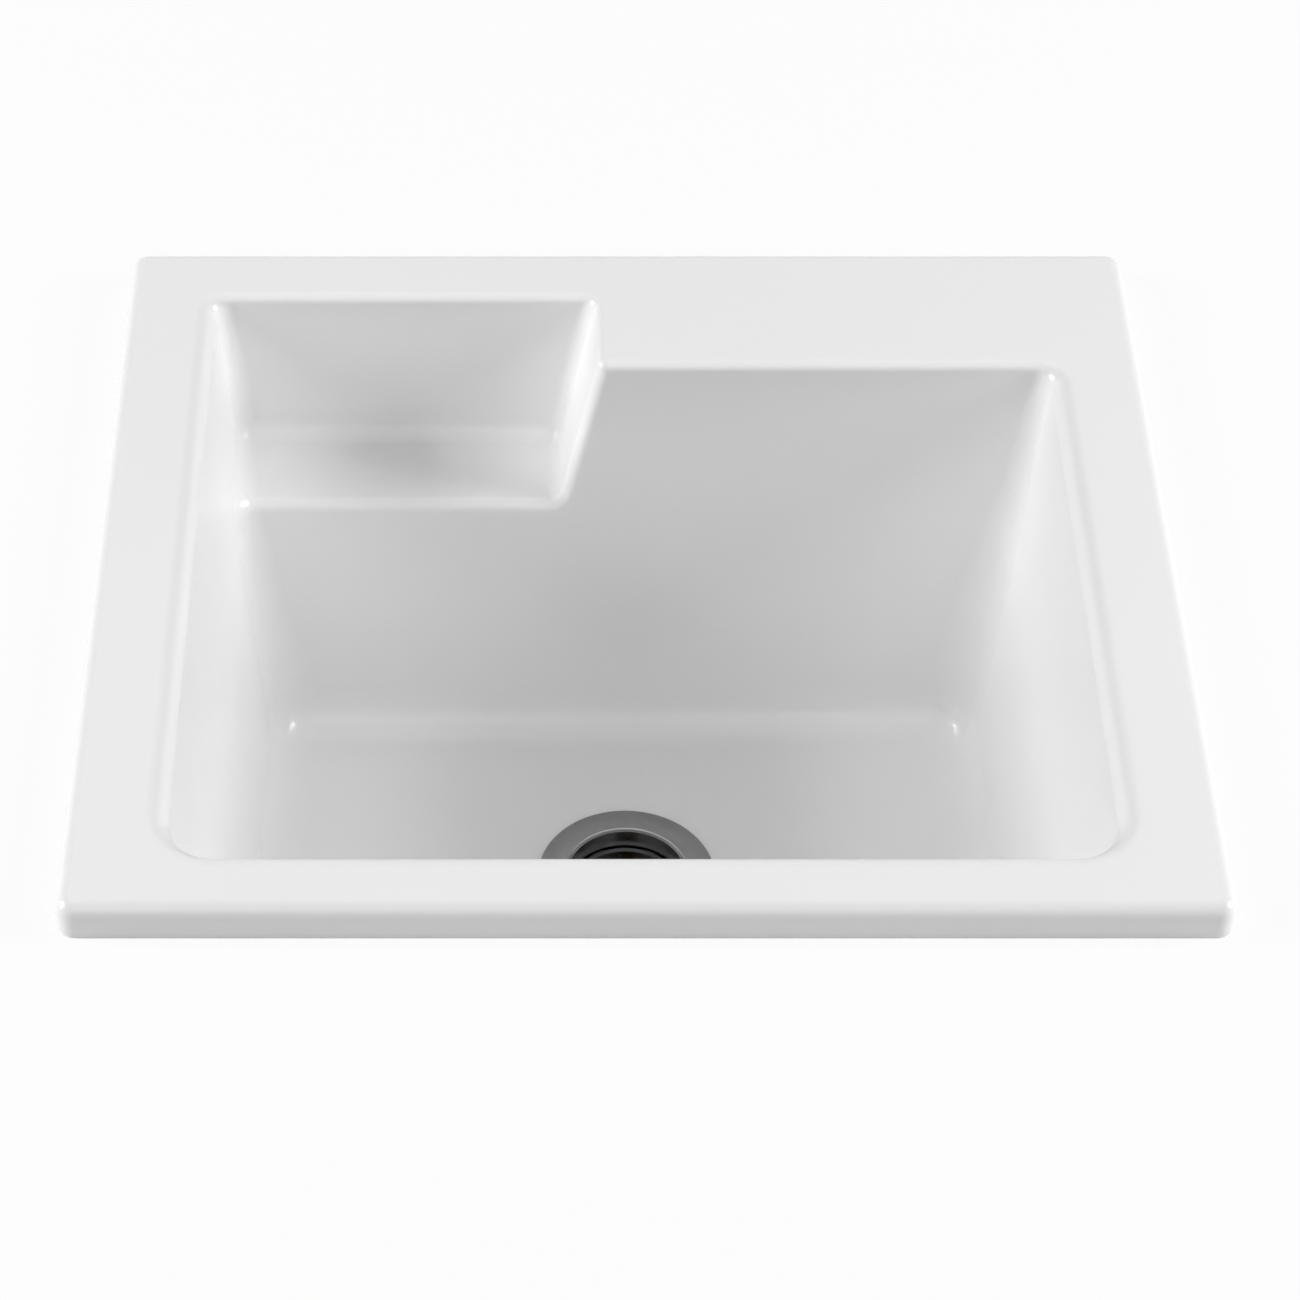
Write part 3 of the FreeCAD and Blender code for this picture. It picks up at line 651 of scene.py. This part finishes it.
@dataclass
class StrainerDrain(SubAssembly):
    """Strainer body, its spider, and what clamps it to the bowl's floor."""

    body: Body = Body.SINK
    finishes: dict[str, Finish] = field(default_factory=lambda: {
        "strainer_body": DRAIN_STEEL,
        "strainer_spider": SPIDER_STEEL,
        "flange_seal": RUBBER,
        "under_gasket": RUBBER,
        "friction_ring": FIBRE_BOARD,
        "locknut": ZINC,
    })
    threads: list[Thread] = field(default_factory=lambda: [
        Thread(name="body_thread", root_radius=41.2 * MM, low=DRAIN_LEVEL - 32.0 * MM, turns=3),
    ])


@dataclass
class WasteJoint(SubAssembly):
    """Tailpiece under the strainer, with its washer and coupling nut."""

    body: Body = Body.SINK
    finishes: dict[str, Finish] = field(default_factory=lambda: {
        "tailpiece_washer": NYLON,
        "tailpiece": DRAIN_STEEL,
        "coupling_nut": ZINC,
    })
    threads: list[Thread] = field(default_factory=lambda: [
        Thread(name="outlet_thread", root_radius=23.8 * MM, low=DRAIN_LEVEL - 57.5 * MM, turns=4),
    ])


@dataclass
class Basket(SubAssembly):
    """Lift-out basket with its stem, knob and stopper."""

    body: Body = Body.BASKET
    finishes: dict[str, Finish] = field(default_factory=lambda: {
        "basket_cup": DRAIN_STEEL,
        "basket_post": BRASS,
        "basket_knob": DRAIN_STEEL,
        "catch_ring": NYLON,
        "stopper": RUBBER,
        "stopper_washer": SPIDER_STEEL,
        "stopper_nut": BRASS,
    })


@dataclass(frozen=True)
class Softbox:
    """Square studio lamp, in metres and watts."""

    name: str
    place: tuple[float, float, float]
    aim: tuple[float, float, float]
    side: float
    power: float

    def add(self) -> None:
        """Hangs the lamp and turns it to what it lights."""
        lamp = bpy.data.lights.new(self.name, "AREA")
        lamp.shape = "SQUARE"
        lamp.size = self.side
        lamp.energy = self.power
        holder = bpy.data.objects.new(self.name, lamp)
        holder.location = self.place
        way = Vector(self.aim) - Vector(self.place)
        holder.rotation_euler = way.to_track_quat("-Z", "Y").to_euler()
        bpy.context.scene.collection.objects.link(holder)


@dataclass
class Studio:
    """Pale board that the rim rests on, pale floor, soft lamps, surroundings and the camera."""

    cutout: tuple[float, float] = (0.610, 0.533)
    board_low: tuple[float, float] = (-0.46, -0.54)
    board_high: tuple[float, float] = (0.50, 0.61)
    board_thickness: float = 0.012
    board_edge: float = 0.002
    floor_level: float = -1.7
    floor_radius: float = 6.0
    floor_sides: int = 96
    floor_sweep: float = 1.5
    floor_rise: float = 0.5
    pale: str = "#F4F4F4"
    white_share: float = 0.9
    ambient: float = 0.10
    lamps: tuple[Softbox, ...] = (
        Softbox("lamp_left", (-3.15, 0.0, 1.42), (0.0, 0.0, -0.1), 1.4, 84.0),
        Softbox("lamp_right", (3.15, 0.0, 1.42), (0.0, 0.0, -0.1), 1.4, 90.0),
        Softbox("lamp_front", (0.0, -2.4, 2.6), (0.0, 0.0, -0.1), 3.0, 22.0),
        Softbox("lamp_top", (0.0, 0.9, 2.3), (0.0, 0.1, -0.1), 2.4, 8.0),
    )
    camera_place: tuple[float, float, float] = (-0.0627, -1.538, 1.484)
    camera_tilt: float = math.radians(44.87)
    camera_sensor: float = 36.0
    camera_lens: float = 99.91
    camera_shift: float = 0.0929

    def build(self) -> list[bpy.types.Object]:
        """Builds the stage, the lamps, the surroundings and the camera.

        Returns:
            The stage's objects.
        """
        stage = [self.build_board(), self.build_floor()]
        pale = self.pale_material()
        for item in stage:
            item.data.materials.append(pale)
        for lamp in self.lamps:
            lamp.add()
        self.light_surroundings()
        self.place_camera()
        bpy.context.scene.view_settings.view_transform = "Standard"
        return stage

    def build_board(self) -> bpy.types.Object:
        """Models the board: the cut-out's outline, widened to the board's edges and drawn down.

        Returns:
            The board.
        """
        select_nothing()
        bpy.ops.mesh.primitive_plane_add(size=1.0, location=ORIGIN)
        board = bpy.context.object
        board.name = "stage_board"
        wide = self.board_high[0] - self.board_low[0]
        deep = self.board_high[1] - self.board_low[1]
        middle = [(low + high) / 2 for low, high in zip(self.board_low, self.board_high)]
        bpy.ops.object.mode_set(mode="EDIT")
        bpy.ops.mesh.select_all(action="SELECT")
        bpy.ops.transform.resize(value=(*self.cutout, 1.0), center_override=ORIGIN)
        bpy.ops.mesh.delete(type="ONLY_FACE")
        bpy.ops.mesh.select_all(action="SELECT")
        bpy.ops.mesh.extrude_edges_move()
        bpy.ops.transform.resize(
            value=(wide / self.cutout[0], deep / self.cutout[1], 1.0), center_override=ORIGIN)
        bpy.ops.transform.translate(value=(*middle, 0.0))
        bpy.ops.mesh.select_all(action="SELECT")
        bpy.ops.mesh.extrude_region_move(
            TRANSFORM_OT_translate={"value": (0.0, 0.0, -self.board_thickness)})
        bpy.ops.mesh.select_all(action="SELECT")
        bpy.ops.mesh.normals_make_consistent(inside=False)
        bpy.ops.object.mode_set(mode="OBJECT")
        apply_modifier(board, "BEVEL", width=self.board_edge, segments=3, limit_method="ANGLE")
        return board

    def build_floor(self) -> bpy.types.Object:
        """Models the floor: a disc whose outer ring sweeps up.

        Returns:
            The floor.
        """
        select_nothing()
        bpy.ops.mesh.primitive_circle_add(
            vertices=self.floor_sides, radius=self.floor_radius, fill_type="NGON", location=ORIGIN)
        floor = bpy.context.object
        floor.name = "stage_floor"
        bpy.ops.object.mode_set(mode="EDIT")
        bpy.ops.mesh.select_all(action="SELECT")
        bpy.ops.mesh.inset(thickness=self.floor_sweep)
        bpy.ops.mesh.select_all(action="SELECT")
        bpy.ops.transform.translate(value=(0.0, 0.0, self.floor_level))
        outer = self.floor_radius - self.floor_sweep / 2
        select_vertices(floor, lambda place: math.hypot(place.x, place.y) > outer)
        bpy.ops.transform.translate(value=(0.0, 0.0, self.floor_rise))
        bpy.ops.object.mode_set(mode="OBJECT")
        bpy.ops.object.shade_smooth()
        return floor

    def seen_directly(self, tree: bpy.types.NodeTree) -> bpy.types.NodeSocket:
        """Tells what is seen, by eye, in a reflection or through glass, from what only sends light.

        Args:
            tree: Node tree of the stage's material or of the surroundings.

        Returns:
            Socket that is 1 where the surface is seen.
        """
        path = add_node(tree, "LightPath", {})
        seen = path.outputs["Is Camera Ray"]
        for ray in ("Is Glossy Ray", "Is Transmission Ray"):
            either = {0: seen, 1: path.outputs[ray]}
            seen = add_node(tree, "Math", either, operation="MAXIMUM").outputs["Value"]
        return seen

    def pale_material(self) -> bpy.types.Material:
        """Makes the stage's matt paint, which looks near white and keeps a soft shadow.

        Returns:
            The node material.
        """
        made = bpy.data.materials.new("pale_emulsion_rolled")
        made.use_nodes = True
        tree = made.node_tree
        tree.nodes.clear()
        matt = add_node(tree, "BsdfDiffuse", {"Color": linear(self.pale)})
        white = add_node(tree, "Emission", {"Strength": 1.0})
        share = add_node(tree, "Math", {
            0: self.seen_directly(tree),
            1: self.white_share,
        }, operation="MULTIPLY")
        mixed = add_node(tree, "MixShader", {
            0: share.outputs["Value"],
            1: matt.outputs["BSDF"],
            2: white.outputs["Emission"],
        })
        add_node(tree, "OutputMaterial", {"Surface": mixed.outputs["Shader"]})
        return made

    def light_surroundings(self) -> None:
        """Surrounds the scene with even light that is white where it is seen."""
        world = bpy.data.worlds.new("even_studio")
        world.use_nodes = True
        tree = world.node_tree
        tree.nodes.clear()
        dim = add_node(tree, "Background", {"Strength": self.ambient})
        white = add_node(tree, "Background", {"Strength": 1.0})
        for light in (dim, white):
            light.inputs["Color"].default_value = (1.0, 1.0, 1.0, 1.0)
        mixed = add_node(tree, "MixShader", {
            0: self.seen_directly(tree),
            1: dim.outputs["Background"],
            2: white.outputs["Background"],
        })
        add_node(tree, "OutputWorld", {"Surface": mixed.outputs["Shader"]})
        bpy.context.scene.world = world

    def place_camera(self) -> None:
        """Sets the camera where the photograph was taken from."""
        lens = bpy.data.cameras.new("camera")
        lens.sensor_width = self.camera_sensor
        lens.lens = self.camera_lens
        lens.shift_x = self.camera_shift
        camera = bpy.data.objects.new("camera", lens)
        camera.location = self.camera_place
        camera.rotation_euler = (self.camera_tilt, 0.0, 0.0)
        bpy.context.scene.collection.objects.link(camera)
        bpy.context.scene.camera = camera


def main() -> None:
    """Builds and dresses each sub-assembly, then sets it in the studio."""
    logging.basicConfig(level=logging.INFO, format="%(message)s")
    for group in (Basin(), StrainerDrain(), WasteJoint(), Basket()):
        for piece in group.build() + group.dress():
            finish = piece.material_slots[0].material.name
            LOG.info("%s: %s in %s", type(group).__name__, piece.name, finish)
    for item in Studio().build():
        LOG.info("Studio: %s", item.name)


if __name__ == "__main__":
    main()
